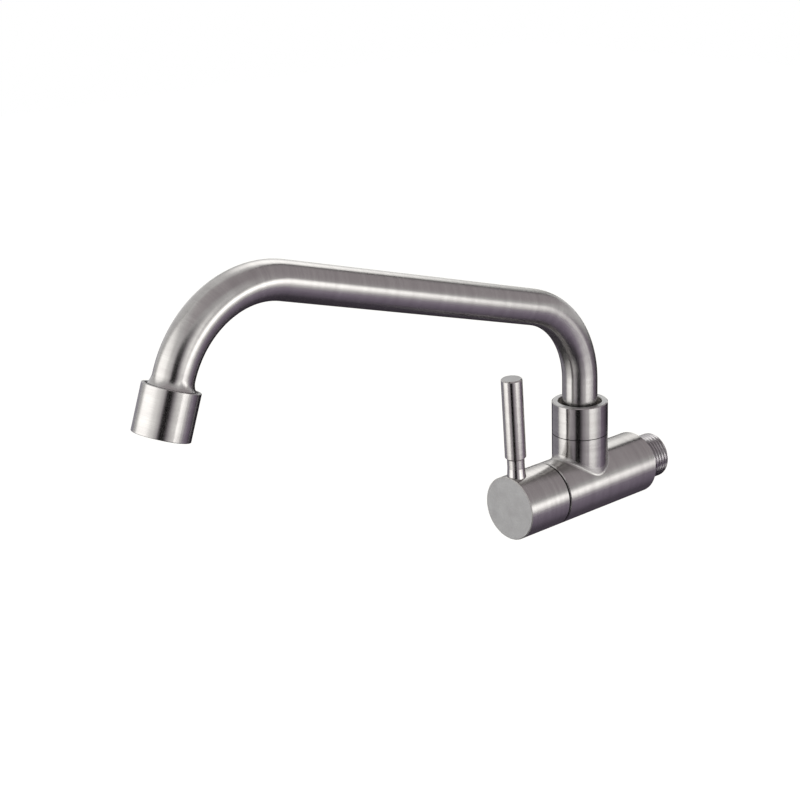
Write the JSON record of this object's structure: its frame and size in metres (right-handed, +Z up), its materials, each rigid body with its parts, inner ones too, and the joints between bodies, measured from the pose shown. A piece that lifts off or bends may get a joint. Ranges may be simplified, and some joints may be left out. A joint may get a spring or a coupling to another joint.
{
  "type": "wall-mounted single-inlet kitchen tap",
  "caption": "Wall-mounted tap with a horizontal body, threaded inlet at the back, lever knob at the front, and a long bent tube spout that swivels on top and ends in an aerator.",
  "frame": {"origin": "centre of the body's rear shoulder, on the inlet axis", "axes": "+Y along the inlet into the wall, -Y out to the user, +Z up along the spout's swivel axis, +X to the right as the user faces the wall"},
  "size_m": [0.029, 0.2865, 0.1521],
  "materials": {
    "brushed_stainless": "fine satin brushed stainless steel",
    "brass": "machined brass",
    "black_rubber": "moulded black rubber",
    "alumina_ceramic": "lapped white ceramic",
    "black_pom": "turned black acetal",
    "pale_pom": "moulded pale acetal",
    "spring_steel": "dark spring steel",
    "wire_mesh": "stainless wire mesh"
  },
  "bodies": {
    "body": {"body": "brushed_stainless", "inlet_tail": "brushed_stainless", "headwork_bush": "brass", "bush_seal": "black_rubber", "seat_seal": "black_rubber", "fixed_disc": "alumina_ceramic", "spindle_washer": "black_pom", "handle_glide_ring": "black_pom", "collar_nut": "brushed_stainless", "spout_thrust_washer": "pale_pom", "spout_bearing_ring": "pale_pom"},
    "handle": {"valve_spindle": "brass", "spindle_o_rings": "black_rubber", "spindle_circlip": "spring_steel", "moving_disc": "alumina_ceramic", "handle_cap": "brushed_stainless", "spline_insert": "brass", "handle_grub_screw": "spring_steel", "lever_rod": "brushed_stainless"},
    "spout": {"spout_foot": "brass", "spout_o_rings": "black_rubber", "spout_tube": "brushed_stainless", "spout_nozzle": "brushed_stainless", "aerator_housing": "brushed_stainless", "aerator_washer": "black_rubber", "aerator_cage": "pale_pom", "aerator_sieve": "pale_pom", "aerator_diffuser": "pale_pom", "aerator_mesh": "wire_mesh"}
  },
  "joints": [
    {"name": "handle_turn", "type": "hinge", "parent": "body", "child": "handle", "pos_m": [0, -0.07, 0], "axis": [0, -1, 0], "range_deg": [0, 90]},
    {"name": "spout_swivel", "type": "hinge", "parent": "body", "child": "spout", "pos_m": [0, -0.037, 0.0343], "axis": [0, 0, 1], "continuous": true}
  ]
}
